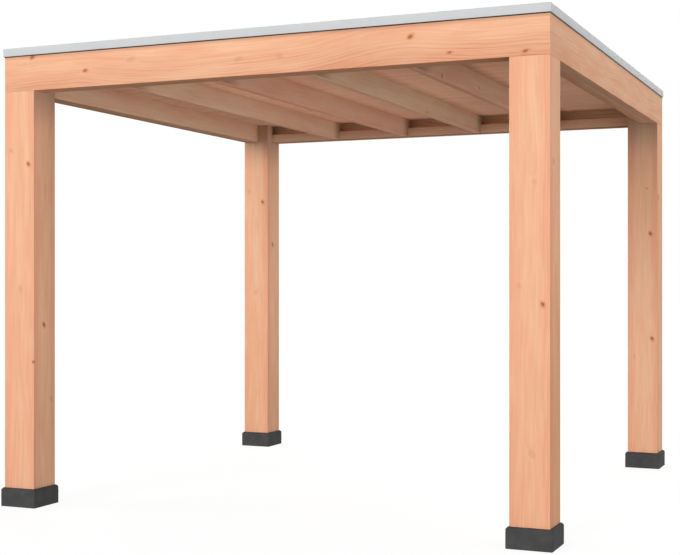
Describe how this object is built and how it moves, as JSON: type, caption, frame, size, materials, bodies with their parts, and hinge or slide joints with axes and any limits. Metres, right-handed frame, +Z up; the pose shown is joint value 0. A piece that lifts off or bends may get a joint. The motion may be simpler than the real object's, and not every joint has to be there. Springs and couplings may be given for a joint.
{
  "type": "patio cover",
  "caption": "Square flat-roofed timber patio cover on corner posts with concrete pads, ring beams, joists under a boarded ceiling and a light metal roof trim.",
  "frame": {"origin": "on the ground, at the centre of the plan, level with the pads' undersides", "axes": "+Z up, +X to the right seen from the front, +Y from the front to the back"},
  "size_m": [3.03, 3.03, 2.47],
  "materials": {
    "concrete_pads": "rough cast concrete, anthracite, speckled",
    "post_timber": "planed softwood, untreated, satin",
    "beam_timber": "planed softwood, untreated, satin",
    "roof_timber": "planed softwood, untreated, matt",
    "roof_boards": "planed softwood boards, untreated, matt",
    "roofing_membrane": "matt black sheet",
    "roof_trim": "light-grey matt"
  },
  "bodies": {
    "root": {"pad_front_left": "concrete_pads", "pad_front_right": "concrete_pads", "pad_back_left": "concrete_pads", "pad_back_right": "concrete_pads", "post_front_left": "post_timber", "post_front_right": "post_timber", "post_back_left": "post_timber", "post_back_right": "post_timber", "front_beam": "beam_timber", "right_beam": "beam_timber", "back_beam": "beam_timber", "left_beam": "beam_timber", "front_ledger": "roof_timber", "back_ledger": "roof_timber", "left_edge_joist": "roof_timber", "right_edge_joist": "roof_timber", "joist_1": "roof_timber", "joist_2": "roof_timber", "joist_3": "roof_timber", "joist_4": "roof_timber", "front_edge_batten": "roof_timber", "right_edge_batten": "roof_timber", "back_edge_batten": "roof_timber", "left_edge_batten": "roof_timber", "roof_deck": "roof_boards", "roof_membrane": "roofing_membrane", "front_trim": "roof_trim", "right_trim": "roof_trim", "back_trim": "roof_trim", "left_trim": "roof_trim"}
  },
  "joints": []
}
